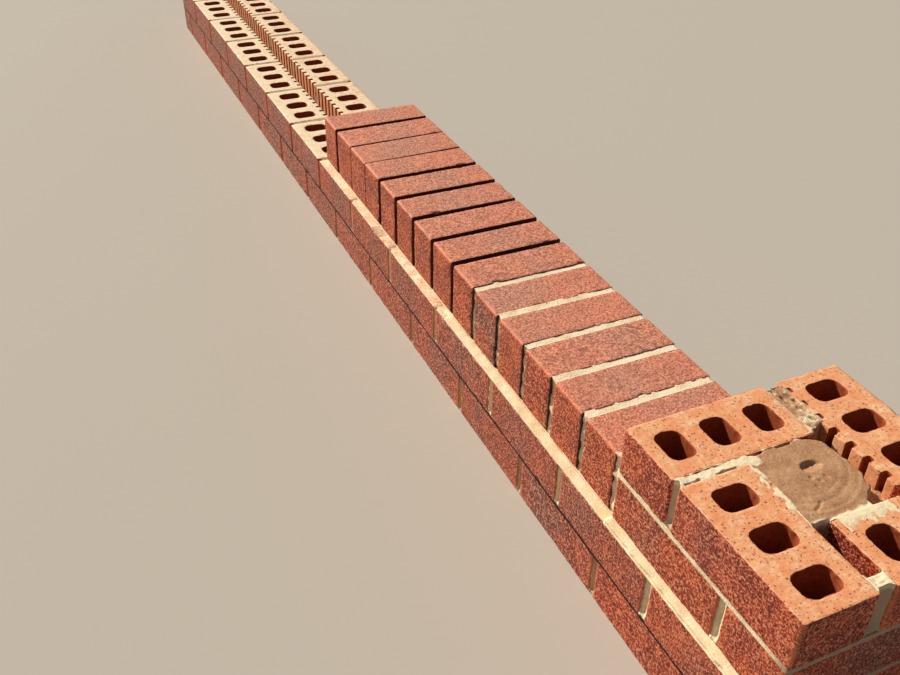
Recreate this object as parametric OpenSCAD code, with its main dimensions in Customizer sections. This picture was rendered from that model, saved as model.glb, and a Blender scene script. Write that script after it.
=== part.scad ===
// Low brick garden wall, part built: two half-brick leaves with a cavity between them,
// a brick-on-edge coping over the near half, the far half still open, and a brick-and-a-half
// square pier at the near end with its top course of perforated bricks showing.
// X runs along the wall towards the pier, Y from the street face to the garden face, Z up.

/* [Brick] */
// Length of a brick
brick_l = 215; // [190:1:240]
// Width of a brick across its bed
brick_w = 102.5; // [90:0.5:115]
// Height of a brick
brick_h = 73; // [50:1:90]

/* [Perforations and keyed back] */
// Size of a perforation across the brick
slot_across = 51; // [35:1:60]
// Size of a perforation along the brick
slot_along = 37.5; // [25:0.5:40]
// Corner radius of a perforation
slot_r = 12; // [4:0.5:12]
// Distance between perforation centres
slot_pitch = 67.5; // [50:0.5:75]
// Number of perforations in a brick
slot_count = 3; // [1:1:3]
// Width of a key groove in the hidden face of a brick
groove_w = 9; // [4:0.5:14]
// Depth of a key groove
groove_d = 9; // [3:0.5:14]
// Distance between key grooves
groove_pitch = 29; // [24:0.5:31]
// Number of key grooves in a brick
groove_count = 7; // [1:1:7]

/* [Mortar] */
// Upright joint between bricks
joint = 10; // [6:0.5:14]
// Upright joint between the pier's bricks
pier_joint = 12; // [6:0.5:16]
// Bed joint between the pier's upper courses
pier_bed = 8; // [4:0.5:14]
// Thin dark bed between the two lowest courses
damp_bed = 3; // [2:0.5:10]
// Bed under the coping
coping_bed = 2; // [1:0.5:12]
// How far mortar is struck back from a face
recess = 3; // [0.5:0.5:8]

/* [Wall] */
// Whole bricks in the upper course of a leaf that stand open
open_bricks = 7; // [2:1:12]
// Whole bricks in the upper course of a leaf under the coping
coped_bricks = 6; // [5:1:8]
// Cavity between the two leaves
cavity = 35; // [24:1:60]

/* [Coping] */
// Joint between two coping bricks
coping_joint = 14.5; // [8:0.5:20]
// Joint on both sides of the third brick, which is laid tight
tight_joint = 6; // [3:0.5:12]
// Extra thickness of the second and third bricks
thick_extra = 9; // [0:0.5:12]
// Setback of the coping from the street face
coping_setback = 18; // [5:0.5:30]
// Number of near coping joints filled with mortar, the one at the pier included
filled_joints = 5; // [1:1:8]
// Number of near coping bricks with mortar left on the ledge in front of them
ledge_bricks = 6; // [1:1:12]
// Thickness of the mortar left on the ledge
ledge_t = 4; // [2:0.5:8]
// How far the joint mortar lies below the top of the coping
joint_drop = 3; // [1:0.5:20]
// Joint between the last coping brick and the pier
end_joint = 18; // [8:0.5:24]

/* [Pier] */
// Setback of the pier's upper courses from the street face
pier_setback = 12; // [2:0.5:14]
// How far the mortar core lies below the top of the pier
core_drop = 6; // [1:0.5:20]

/* [Hidden] */
$fn = 48;
// Pier plan: a brick and a half each way. The lower courses keep the cavity of the leaves
// between their street and garden bricks, and all courses are flush at the back.
pier_w = brick_l + pier_joint + brick_w;
pier_d = brick_l + cavity + brick_w;
upper_pier_d = pier_d - pier_setback;
pitch = brick_l + joint;
wall_l = (open_bricks + coped_bricks) * pitch - brick_w - joint;
// Cut brick that completes a course beside a lap of half a brick
bat_l = brick_l - brick_w - joint;
// The origin is the middle of the plan at ground level
pier_x = (wall_l - pier_w) / 2;
front_y = -pier_d / 2;
end_x = pier_x - wall_l;
back_leaf_y = front_y + brick_w + cavity;
// Levels of the courses
upper_z = brick_h + damp_bed;
leaf_top = upper_z + brick_h;
pier_z3 = leaf_top + pier_bed;
pier_z4 = pier_z3 + brick_h + pier_bed;
coping_z = leaf_top + coping_bed;
coping_y = front_y + coping_setback;
// Upper course: the street leaf's last brick laps into the pier, the garden leaf's butts it
lap_x = pier_x + brick_w - coped_bricks * pitch + joint;
// Coping bricks are counted from the open end; the last stands one joint from the pier
coping_count = 14;
function coping_t(n) = brick_h + (n == 2 || n == 3 ? thick_extra : 0);
function coping_gap(n) = n == 2 || n == 3 ? tight_joint : n == coping_count ? end_joint : coping_joint;
function coping_start(n) = n > coping_count ? pier_x : coping_start(n + 1) - coping_gap(n) - coping_t(n);
first_filled = coping_count - filled_joints + 1;
ledge_x = coping_start(coping_count - ledge_bricks + 1);
// Overrun of cutting tools
eps = 1;

brick_colour = [0.62, 0.25, 0.17];
bed_colour = [0.87, 0.52, 0.34];
mortar_colour = [0.80, 0.74, 0.60];
dark_colour = [0.16, 0.14, 0.13];
core_colour = [0.66, 0.52, 0.40];

// Rounded outline of one perforation, centred
module slot_outline() {
    r = min(slot_r, slot_along / 2 - 1);
    union() {
        square([slot_across - 2 * r, slot_along], center = true);
        square([slot_across, slot_along - 2 * r], center = true);
        for (sx = [-1, 1], sy = [-1, 1])
            translate([sx * (slot_across / 2 - r), sy * (slot_along / 2 - r)]) circle(r);
    }
}

// Three perforations of a brick that lies along X with its bed centred on the origin
module slots() {
    for (i = [0 : slot_count - 1])
        translate([(i - (slot_count - 1) / 2) * slot_pitch, 0]) rotate(90) slot_outline();
}

// Key grooves in the +Y face of the same brick
module grooves() {
    for (i = [0 : groove_count - 1])
        translate([(i - (groove_count - 1) / 2) * groove_pitch - groove_w / 2, brick_w / 2 - groove_d])
            square([groove_w, groove_d + eps]);
}

// Bed of a perforated brick, seen from above, with its facing side towards -Y
module bed_outline() {
    difference() {
        square([brick_l, brick_w], center = true);
        slots();
        grooves();
    }
}

// Perforated brick laid flat: corner at the origin, along X, facing -Y
module perforated_brick() {
    translate([brick_l / 2, brick_w / 2, 0]) linear_extrude(brick_h) bed_outline();
}

// The same brick, facing +Y
module perforated_brick_back() {
    translate([0, brick_w, 0]) mirror([0, 1, 0]) perforated_brick();
}

// Brick whose perforations are bedded over and filled
module bedded_brick(length = brick_l) {
    cube([length, brick_w, brick_h]);
}

// Courses of a leaf whose street or outer corner is at y
module lower_course(y) {
    color(brick_colour) {
        translate([end_x, y, 0]) bedded_brick(bat_l);
        for (i = [1 : open_bricks + coped_bricks - 1])
            translate([pier_x - i * pitch, y, 0]) bedded_brick();
    }
}

module upper_open(y, back) {
    color(bed_colour)
        for (i = [1 : open_bricks])
            translate([lap_x - i * pitch, y, upper_z])
                if (back) perforated_brick_back(); else perforated_brick();
}

module upper_coped(y, count) {
    color(brick_colour)
        for (i = [0 : count - 1])
            translate([lap_x + i * pitch, y, upper_z]) bedded_brick();
}

// Upright joint, struck back from the outer face only
module upright(x, y, z, back) {
    translate([x, y + (back ? 0 : recess), z]) cube([joint, brick_w - recess, brick_h]);
}

module lower_joints(y, back) {
    color(mortar_colour)
        for (i = [0 : open_bricks + coped_bricks - 1])
            upright(pier_x - i * pitch - joint, y, 0, back);
}

module upper_joints(y, back) {
    color(mortar_colour) {
        for (i = [1 - open_bricks : coped_bricks - 1])
            upright(lap_x + i * pitch - joint, y, upper_z, back);
        if (back) upright(pier_x - joint, y, upper_z, back);
    }
}

module damp_bed_strip(y, back) {
    color(dark_colour)
        translate([end_x + recess, y + (back ? 0 : recess), brick_h])
            cube([wall_l, brick_w - recess, damp_bed]);
}

// Brick on edge: its length crosses the wall and its keyed face is bedded
module coping_brick(n) {
    color(brick_colour)
        translate([coping_start(n), coping_y, coping_z])
            difference() {
                cube([coping_t(n), brick_l, brick_w]);
                translate([-eps, brick_l / 2, brick_w / 2])
                    rotate([90, 0, 90]) linear_extrude(coping_t(n) + 2 * eps) slots();
            }
}

module coping_joints() {
    color(mortar_colour)
        for (n = [first_filled : coping_count])
            translate([coping_start(n) + coping_t(n), coping_y + recess, coping_z])
                cube([coping_gap(n), brick_l - 2 * recess, brick_w - joint_drop]);
}

// Bed under the coping on each leaf, and the mortar left on the ledge in front of it
module coping_bed_front() {
    color(mortar_colour)
        translate([coping_start(1) + recess, coping_y, leaf_top])
            cube([pier_x - coping_start(1) - recess, brick_w - coping_setback, coping_bed]);
}

module coping_bed_back() {
    color(mortar_colour)
        translate([coping_start(1) + recess, back_leaf_y, leaf_top])
            cube([pier_x - coping_start(1) - recess, brick_w - recess, coping_bed]);
}

module ledge_mortar() {
    color(mortar_colour)
        translate([ledge_x, front_y, leaf_top])
            cube([pier_x + recess - ledge_x, coping_setback, ledge_t]);
}

// Four bricks round the pier as [x, y, length in x, length in y]; cross is the joint across Y
function pinwheel(cross) = [
    [0, 0, brick_w, brick_l],
    [brick_w + pier_joint, 0, brick_l, brick_w],
    [brick_l + pier_joint, brick_w + cross, brick_w, brick_l],
    [0, brick_l + cross, brick_l, brick_w]
];
// The course above or below is the mirror image
function turned(course) = [for (b = course) [pier_w - b[0] - b[2], b[1], b[2], b[3]]];
upper_cross = cavity - pier_setback;
course_1 = turned(pinwheel(cavity));
// In the second course a brick of the street leaf and a cut brick make up the left side
course_2 = concat([[0, brick_w + joint, brick_w, bat_l]], [for (i = [1 : 3]) pinwheel(cavity)[i]]);
course_3 = turned(pinwheel(upper_cross));
course_4 = pinwheel(upper_cross);

module pier_bricks(course, y, z) {
    color(brick_colour)
        for (b = course) translate([pier_x + b[0], y + b[1], z]) cube([b[2], b[3], brick_h]);
}

// Mortar of one pier course: joints and core are one mass between the bricks
module pier_mortar(course, y, depth, z, drop) {
    translate([pier_x + recess, y + recess, z])
        linear_extrude(brick_h - drop)
            difference() {
                square([pier_w - 2 * recess, depth - 2 * recess]);
                for (b = course) translate([b[0] - recess, b[1] - recess]) square([b[2], b[3]]);
            }
}

module pier_bed_slab(y, depth, z, height, colour) {
    color(colour)
        translate([pier_x + recess, y + recess, z])
            cube([pier_w - 2 * recess, depth - 2 * recess, height]);
}

// Perforated bricks of the pier's top course, by place in the pinwheel
module pier_top_brick(i) {
    b = course_4[i];
    color(bed_colour)
        translate([pier_x + b[0] + b[2] / 2, front_y + pier_setback + b[1] + b[3] / 2, pier_z4])
            rotate([0, 0, (i - 1) * 90]) linear_extrude(brick_h) bed_outline();
}

module lap_hole() {
    translate([pier_x - joint, front_y - eps, upper_z - eps])
        cube([brick_w + joint, brick_w + eps, brick_h + 2 * eps]);
}

module lower_course_front() { lower_course(front_y); }
module lower_course_back() { lower_course(back_leaf_y); }
module upper_course_front_open() { upper_open(front_y, false); }
module upper_course_back_open() { upper_open(back_leaf_y, true); }
module upper_course_front_coped() { upper_coped(front_y, coped_bricks); }
module upper_course_back_coped() {
    upper_coped(back_leaf_y, coped_bricks - 1);
    color(brick_colour)
        translate([lap_x + (coped_bricks - 1) * pitch, back_leaf_y, upper_z]) bedded_brick(bat_l);
}
module lower_joints_front() { lower_joints(front_y, false); }
module lower_joints_back() { lower_joints(back_leaf_y, true); }
module upper_joints_front() { upper_joints(front_y, false); }
module upper_joints_back() { upper_joints(back_leaf_y, true); }
module damp_bed_front() { damp_bed_strip(front_y, false); }
module damp_bed_back() { damp_bed_strip(back_leaf_y, true); }
module pier_course_1() { pier_bricks(course_1, front_y, 0); }
module pier_course_2() { pier_bricks(course_2, front_y, upper_z); }
module pier_course_3() { pier_bricks(course_3, front_y + pier_setback, pier_z3); }
module pier_mortar_1() { color(mortar_colour) pier_mortar(course_1, front_y, pier_d, 0, 0); }
module pier_mortar_2() {
    color(mortar_colour) difference() {
        pier_mortar(course_2, front_y, pier_d, upper_z, 0);
        lap_hole();
    }
}
module pier_mortar_3() {
    color(mortar_colour) pier_mortar(course_3, front_y + pier_setback, upper_pier_d, pier_z3, 0);
}
module pier_core() {
    color(core_colour)
        pier_mortar(course_4, front_y + pier_setback, upper_pier_d, pier_z4, core_drop);
}
module pier_bed_1() { pier_bed_slab(front_y, pier_d, brick_h, damp_bed, dark_colour); }
module pier_bed_2() { pier_bed_slab(front_y, pier_d, leaf_top, pier_bed, mortar_colour); }
module pier_bed_3() {
    pier_bed_slab(front_y + pier_setback, upper_pier_d, pier_z3 + brick_h, pier_bed, mortar_colour);
}

lower_course_front();
lower_course_back();
upper_course_front_open();
upper_course_back_open();
upper_course_front_coped();
upper_course_back_coped();
lower_joints_front();
lower_joints_back();
upper_joints_front();
upper_joints_back();
damp_bed_front();
damp_bed_back();
coping_brick(1);  // coping_brick_01
coping_brick(2);  // coping_brick_02
coping_brick(3);  // coping_brick_03
coping_brick(4);  // coping_brick_04
coping_brick(5);  // coping_brick_05
coping_brick(6);  // coping_brick_06
coping_brick(7);  // coping_brick_07
coping_brick(8);  // coping_brick_08
coping_brick(9);  // coping_brick_09
coping_brick(10);  // coping_brick_10
coping_brick(11);  // coping_brick_11
coping_brick(12);  // coping_brick_12
coping_brick(13);  // coping_brick_13
coping_brick(14);  // coping_brick_14
coping_joints();
coping_bed_front();
coping_bed_back();
ledge_mortar();
pier_course_1();
pier_course_2();
pier_course_3();
pier_top_brick(0);  // pier_top_left
pier_top_brick(1);  // pier_top_front
pier_top_brick(2);  // pier_top_right
pier_top_brick(3);  // pier_top_back
pier_mortar_1();
pier_mortar_2();
pier_mortar_3();
pier_core();
pier_bed_1();
pier_bed_2();
pier_bed_3();
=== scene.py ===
"""Looks of a part-built brick garden wall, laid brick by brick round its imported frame."""

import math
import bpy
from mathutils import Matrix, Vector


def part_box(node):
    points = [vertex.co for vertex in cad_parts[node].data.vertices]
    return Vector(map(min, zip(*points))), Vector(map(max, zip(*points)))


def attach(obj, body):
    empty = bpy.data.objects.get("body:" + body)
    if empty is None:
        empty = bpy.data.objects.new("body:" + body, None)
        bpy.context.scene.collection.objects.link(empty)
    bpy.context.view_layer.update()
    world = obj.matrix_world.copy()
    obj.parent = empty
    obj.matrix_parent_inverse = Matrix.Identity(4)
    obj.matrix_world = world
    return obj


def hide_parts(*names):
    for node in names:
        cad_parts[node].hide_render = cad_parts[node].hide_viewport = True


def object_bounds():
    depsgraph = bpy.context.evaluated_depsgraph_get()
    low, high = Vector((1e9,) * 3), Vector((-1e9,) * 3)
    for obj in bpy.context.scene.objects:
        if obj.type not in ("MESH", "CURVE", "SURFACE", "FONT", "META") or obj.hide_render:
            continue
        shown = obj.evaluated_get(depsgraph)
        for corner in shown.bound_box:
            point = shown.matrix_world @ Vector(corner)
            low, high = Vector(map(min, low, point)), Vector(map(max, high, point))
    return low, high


bl_info = {
    "name": "Part-built brick garden wall",
    "version": (1, 0, 0),
    "blender": (4, 5, 0),
    "location": "3D View > Sidebar > Garden wall",
    "description": "Lays the bricks, mortar and pier of a low garden wall in its frame",
    "category": "Object",
}

from functools import lru_cache

import bpy
import numpy as np
from bpy.props import FloatProperty, FloatVectorProperty, IntProperty, PointerProperty
from mathutils import Euler, Matrix, Vector
from mathutils.geometry import delaunay_2d_cdt

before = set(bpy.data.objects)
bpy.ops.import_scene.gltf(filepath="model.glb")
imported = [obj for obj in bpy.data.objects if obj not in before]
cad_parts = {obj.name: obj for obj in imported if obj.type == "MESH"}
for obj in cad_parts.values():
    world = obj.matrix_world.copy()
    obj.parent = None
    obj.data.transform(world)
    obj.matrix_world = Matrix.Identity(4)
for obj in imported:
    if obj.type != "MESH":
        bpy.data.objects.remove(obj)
CAD_BOX = [list(corner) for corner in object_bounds()]

MM = 0.001
# Faces of a brick and the material slots of its mesh
FACING, BED, RAW = 0, 1, 2
# Straight pieces in a rounded corner or arris
ARC_STEPS = 3
# The wall's one body, on which every piece rides
BODY = "root"


def linear(code):
    """Linear colour of an sRGB hex value."""
    parts = [int(code[i : i + 2], 16) / 255 for i in (0, 2, 4)]
    return [c / 12.92 if c <= 0.04045 else ((c + 0.055) / 1.055) ** 2.4 for c in parts]


def shade(label, code, words):
    """Colour setting that starts at an sRGB hex value."""
    return FloatVectorProperty(
        name=label, description=words, default=linear(code), subtype="COLOR", size=3, min=0, max=1
    )


def in_mm(*sizes):
    """Lengths in metres of some sizes in millimetres."""
    return tuple(size * MM for size in sizes)


def length(label, words, size_mm):
    """Length setting in metres that starts at a size in millimetres."""
    return FloatProperty(name=label, description=words, default=size_mm * MM, unit="LENGTH", min=0)


class BrickSettings(bpy.types.PropertyGroup):
    """Sizes of the perforated, keyed facing brick that the frame's boxes don't hold."""

    slot_across: length("Perforation across", "Size of a perforation across the bed", 51)
    slot_along: length("Perforation along", "Size of a perforation along the brick", 37.5)
    slot_radius: length("Perforation corner", "Corner radius of a perforation", 12)
    slot_pitch: length("Perforation pitch", "Distance between perforations", 67.5)
    slot_count: IntProperty(name="Perforations", description="Number in a brick", default=3, min=0)
    groove_width: length("Groove width", "Width of a key groove", 9)
    groove_depth: length("Groove depth", "Depth of a key groove", 9)
    groove_pitch: length("Groove pitch", "Distance between key grooves", 29)
    groove_count: IntProperty(name="Grooves", description="Number in a brick", default=7, min=0)
    corner: length("Brick corner", "Radius of a brick's upright corners", 3.5)
    arris: length("Arris", "Radius of the edge between a bed and a face", 0.9)
    grit: length("Grit relief", "Depth of the sanded face's relief", 0.6)
    bow: length("Bow", "How far a face may bow in from true", 0.4)
    nick: length("Nicks", "Depth of the small nicks along an arris", 1.1)
    chip: length("Chips", "Depth of the few larger chips along an arris", 3.5)
    swell: length("Swell", "How far a brick is fuller than its frame before it is worn", 0.45)
    slip: length("Slip", "How far a brick may lie off its line", 0.6)


class MortarSettings(bpy.types.PropertyGroup):
    """Sizes of the mortar's relief."""

    sand: length("Sand relief", "Depth of the relief that sand gives", 0.6)
    lump: length("Lumps", "Depth of the uneven strike", 0.8)
    hollow: length("Hollow", "Depth of the strike in the middle of an upright joint", 4)
    hollow_edge: length("Hollow edge", "Distance from a brick to a joint's full hollow", 3.5)
    smear: length("Smear", "How far mortar laps over a brick's edge", 1.2)


class ColourSettings(bpy.types.PropertyGroup):
    """Colours of the clay, the mortar and the studio floor."""

    face_red: shade("Face red", "A33C25", "Fired red of a facing side")
    face_orange: shade("Face orange", "D05B33", "Hotter orange where the kiln's draught reached")
    face_flash: shade("Face flash", "8C5850", "Purple brown of the reduced, flashed clay")
    face_speck: shade("Face speck", "4E1C14", "Dark grains in the sanded face")
    face_grain: shade("Face grain", "EA9C76", "Pale grains in the sanded face")
    face_edge: shade("Face arris", "D9764A", "Arris where the sand has rubbed off")
    # Pale on level faces: partly dust, partly painted sheen where tops meet low light
    face_dust_and_sheen: shade("Face dust", "F9B194", "Pale dust on faces that lie level")
    bed_clay: shade("Cut clay", "EE9A68", "Orange body of the clay where the wire cut it")
    bed_pale: shade("Cut clay, pale", "F6BA8C", "Paler smears that the wire left")
    bed_speck: shade("Cut clay specks", "6E3220", "Dark nicks and ironspots in the body")
    # Partly mortar dust, partly painted sheen on beds seen at a low angle
    bed_dust_and_sheen: shade("Mortar dust", "F8E8C6", "Dry mortar dust on a bed")
    # Partly painted shade: darker than the lit clay, so that perforations and keys look dark
    deep_clay_and_shade: shade("Deep clay", "8E3E20", "Clay inside a perforation or a key")
    deep_pale: shade("Deep clay, pale", "AC5A34", "Paler streaks inside a perforation or a key")
    # Painted shade: this dark clay on their bed faces makes the coping's open joints look shadowed
    joint_shade_clay: shade("Dull clay", "54261A", "Clay of the bed faces in the coping's joints")
    mortar_pale: shade("Mortar", "F8E6C2", "Dry sand and lime mortar")
    mortar_dark: shade("Mortar, sandy", "E4CCA0", "Sandier patches of the mortar")
    mortar_white: shade("Mortar, limy", "FBF0DA", "Mortar with more lime at its surface")
    # Besides real stains, this paints shade on the pier's end and the core's street-side joint
    mortar_stain_and_shade: shade("Mortar, stained", "9A7560", "Mortar stained by brick dust and damp")
    core_wet: shade("Fresh mortar", "A97B5A", "Trowelled mortar that hasn't dried")
    core_pale: shade("Fresh mortar, dry", "C69A74", "Where the fresh mortar dries first")
    felt: shade("Damp course", "0D0B09", "Bitumen felt between the lowest courses")
    felt_worn: shade("Damp course, worn", "272727", "Greyer grains in the felt")
    floor: shade("Floor", "C0BBB2", "Plain studio floor")


class CameraSettings(bpy.types.PropertyGroup):
    """The photograph's viewpoint, worked out from the wall's own edges."""

    place: FloatVectorProperty(
        name="Place", description="Camera position", default=(1.9885, -0.7488, 1.0938), unit="LENGTH"
    )
    turn: FloatVectorProperty(
        name="Turn",
        description="Camera rotation about X, Y and Z",
        default=[math.radians(a) for a in (54.897, -0.719, 65.845)],
        unit="ROTATION",
    )
    lens: FloatProperty(name="Lens", description="Focal length in millimetres", default=38.56)


class WallSettings(bpy.types.PropertyGroup):
    """All settings of the wall."""

    brick: PointerProperty(type=BrickSettings)
    mortar: PointerProperty(type=MortarSettings)
    colour: PointerProperty(type=ColourSettings)
    camera: PointerProperty(type=CameraSettings)


def settings():
    """The scene's settings of the wall."""
    return bpy.context.scene.garden_wall


# Repeatable noise


def lattice(cells, seed):
    """A repeatable value from -1 to 1 for each whole-number point."""
    value = np.sin(cells @ np.array([12.9898, 78.233, 37.719]) + seed * 4.1414) * 43758.5453
    return 2 * (value - np.floor(value)) - 1


def rough(points, size, seed):
    """Smooth noise from -1 to 1, with bumps about size across; size may differ by axis."""
    cell, part = np.divmod(points / size, 1)
    part = part * part * (3 - 2 * part)
    total = np.zeros(len(points))
    for corner in np.ndindex(2, 2, 2):
        share = np.prod(np.where(corner, part, 1 - part), axis=1)
        total += share * lattice(cell + corner, seed)
    return total


def rough_flat(points, size, seed):
    """Noise over points of a plane."""
    return rough(np.column_stack([points, np.zeros(len(points))]), size, seed)


def above(values, threshold):
    """How far values rise above a threshold, scaled to reach 1."""
    return np.clip((values - threshold) / (1 - threshold), 0, 1)


def ease(value, low, high):
    """0 below low, 1 above high, and smooth between."""
    share = np.clip((value - low) / (high - low), 0, 1)
    return share * share * (3 - 2 * share)


# Outlines of a brick

# Radii of a key groove's four corners
GROOVE_RADII = in_mm(1.4, 2, 2, 1.4)


def walk(corners, radii, steps):
    """Points, outward normals and side numbers along a closed outline with rounded corners."""
    found = []
    count = len(corners)
    for i in range(count):
        here, before, after = (Vector(corners[j % count]) for j in (i, i - 1, i + 1))
        come, leave = (here - before).normalized(), (after - here).normalized()
        radius, turn = radii[i], 1 if come.cross(leave) > 0 else -1
        centre = here - come * radius + leave * radius
        for k in range(ARC_STEPS + 1):
            angle = math.pi / 2 * k / ARC_STEPS
            spoke = come * math.sin(angle) - leave * math.cos(angle)
            found.append((centre + spoke * radius, spoke * turn, i))
        start = here + leave * radius
        span = (after - here).length - radius - radii[(i + 1) % count]
        pieces = max(1, round(span / steps[i]))
        outward = Vector((leave.y, -leave.x))
        found += [(start + leave * span * k / pieces, outward, i) for k in range(1, pieces)]
    return [np.array(column) for column in zip(*found)]


def brick_outline(long, wide, keyed, steps):
    """Outer outline of a bed with its face along y = 0 and its key grooves along y = wide."""
    brick = settings().brick
    count = brick.groove_count if keyed else 0
    corners = [(0, 0), (long, 0), (long, wide)]
    radii, spacing = [brick.corner] * 3, list(steps)
    for i in reversed(range(count)):
        middle = long / 2 + (i - (count - 1) / 2) * brick.groove_pitch
        right, left = middle + brick.groove_width / 2, middle - brick.groove_width / 2
        deep = wide - brick.groove_depth
        corners += [(right, wide), (right, deep), (left, deep), (left, wide)]
        radii += GROOVE_RADII
        spacing += [steps[2]] * 4
    return walk(corners + [(0, wide)], radii + [brick.corner], spacing + [steps[1]])


def slot_outline(middle, wide, step):
    """Outline of one perforation, walked clockwise so that its normals point into the hole."""
    brick = settings().brick
    left, right = middle - brick.slot_along / 2, middle + brick.slot_along / 2
    low, high = (wide - brick.slot_across) / 2, (wide + brick.slot_across) / 2
    corners = [(left, low), (left, high), (right, high), (right, low)]
    return walk(corners, [brick.slot_radius] * 4, [step] * 4)


def profile(height, arris, step):
    """Inset and level of each ring of points from the lower bed up to the upper one."""
    turns = [math.pi / 2 * k / ARC_STEPS for k in range(ARC_STEPS + 1)]
    foot = [(arris * (1 - math.sin(t)), arris * (1 - math.cos(t))) for t in turns]
    span = height - 2 * arris
    pieces = max(1, round(span / step))
    wall = [(0, arris + span * k / pieces) for k in range(1, pieces)]
    return foot + wall + [(inset, height - level) for inset, level in reversed(foot)]


def inside(points, loops):
    """Whether each point lies in the clay: inside the outline and in no perforation."""
    result = np.zeros(len(points), bool)
    for loop in loops:
        for (x0, y0), (x1, y1) in zip(loop, np.roll(loop, -1, axis=0)):
            crosses = (y0 > points[:, 1]) != (y1 > points[:, 1])
            if crosses.any():
                at = x0 + (points[:, 1] - y0) * (x1 - x0) / (y1 - y0 if y1 != y0 else 1)
                result ^= crosses & (points[:, 0] < at)
    return result


def bed_triangles(loops, step):
    """Inner points and triangles that fill a bed between its outlines."""
    edge_points = np.concatenate(loops)
    inner = np.empty((0, 2))
    if step:
        low, high = edge_points.min(0), edge_points.max(0)
        xs = np.arange(low[0] + step, high[0], step)
        ys = np.arange(low[1] + step, high[1], step * 0.87)
        net = np.array([(x + step / 2 * (k % 2), y) for k, y in enumerate(ys) for x in xs])
        net += step * 0.2 * np.stack([rough_flat(net, step, s) for s in (3, 5)], 1)
        net = net[inside(net, loops)]
        gaps = np.sqrt(((net[:, None] - edge_points[None]) ** 2).sum(2)).min(1)
        inner = net[gaps > step * 0.55]
    every = np.concatenate([edge_points, inner])
    edges, start = [], 0
    for size in map(len, loops):
        edges += [(start + k, start + (k + 1) % size) for k in range(size)]
        start += size
    made, _, faces, sources, _, _ = delaunay_2d_cdt([Vector(p) for p in every], edges, [], 0, 1e-7)
    if len(made) != len(every):
        raise RuntimeError("a bed's outlines cross each other")
    triangles = np.array([source[0] for source in sources])[np.array(faces)]
    triangles = triangles[inside(every[triangles].mean(1), loops)]
    a, b, c = (every[triangles[:, k]] for k in range(3))
    turn = (b - a)[:, 0] * (c - a)[:, 1] - (b - a)[:, 1] * (c - a)[:, 0]
    triangles[turn < 0] = triangles[turn < 0][:, ::-1]
    return inner, triangles


# How far down a perforation its torn mouth reaches, and in from a brick's edge its nicks
MOUTH, NICKED = in_mm(4, 4)


@lru_cache(maxsize=None)
def plain_brick(long, wide, high, slots, keyed, steps, bed_step):
    """Mesh of a brick before it is worn: points, faces, their surface, and weights for wear."""
    brick = settings().brick
    outlines = [(brick_outline(long, wide, keyed, steps[:3]), steps[3])]
    for i in range(brick.slot_count if slots else 0):
        middle = long / 2 + (i - (brick.slot_count - 1) / 2) * brick.slot_pitch
        outlines.append((slot_outline(middle, wide, steps[4]), 2.5 * steps[4]))
    points, faces, surface, mouth = [], [], [], []
    first_rings, last_rings, total = [], [], 0
    for number, ((line, normals, sides), step) in enumerate(outlines):
        rings = profile(high, brick.arris, step)
        size = len(line)
        for inset, level in rings:
            points.append(np.column_stack([line - normals * inset, np.full(size, level)]))
            reach = max(0, 1 - min(level, high - level) / MOUTH)
            mouth.append(np.full(size, reach if number else 0.0))
        kind = np.full(size, RAW)
        if number == 0:
            back = (sides >= 2) & (sides < sides.max()) & keyed
            kind = np.where(back, np.where((sides - 2) % 4 > 0, RAW, BED), FACING)
        here = np.arange(size)
        after = (here + 1) % size
        for k in range(len(rings) - 1):
            low, up = total + k * size, total + (k + 1) * size
            faces.append(np.column_stack([low + here, low + after, up + after, up + here]))
            surface.append(kind)
        first_rings.append(total + here)
        total += len(rings) * size
        last_rings.append(total - size + here)
    points, mouth = np.concatenate(points), np.concatenate(mouth)
    for rings, level, step in ((first_rings, 0, 0), (last_rings, high, bed_step)):
        inner, triangles = bed_triangles([points[ring][:, :2] for ring in rings], step)
        index = np.concatenate(rings + [len(points) + np.arange(len(inner))])
        triangles = index[triangles if level else triangles[:, ::-1]]
        points = np.concatenate([points, np.column_stack([inner, np.full(len(inner), level)])])
        mouth = np.concatenate([mouth, np.zeros(len(inner))])
        faces.append(np.column_stack([triangles, np.full(len(triangles), -1)]))
        surface.append(np.full(len(triangles), BED))
    return points, np.concatenate(faces), np.concatenate(surface), mouth


def point_normals(points, faces):
    """Unit normal at each point, from its faces; a triangle's fourth corner is -1."""
    triangle = faces[:, 3] < 0
    last = np.where(triangle, faces[:, 0], faces[:, 3])
    a, b, c, d = (points[index] for index in (*faces[:, :3].T, last))
    cross = np.where(triangle[:, None], np.cross(b - a, c - a), np.cross(c - a, d - b))
    normals = np.zeros_like(points)
    for k in range(4):
        used = faces[:, k] >= 0
        np.add.at(normals, faces[used, k], cross[used])
    return normals / np.maximum(np.linalg.norm(normals, axis=1), 1e-12)[:, None]


def facing_share(points, faces, surface):
    """1 at points of a facing side, 0 on beds, perforations and keys."""
    share, uses = np.zeros(len(points)), np.zeros(len(points))
    for k in range(4):
        used = faces[:, k] >= 0
        np.add.at(share, faces[used, k], surface[used] == FACING)
        np.add.at(uses, faces[used, k], 1)
    return share / np.maximum(uses, 1)


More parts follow.
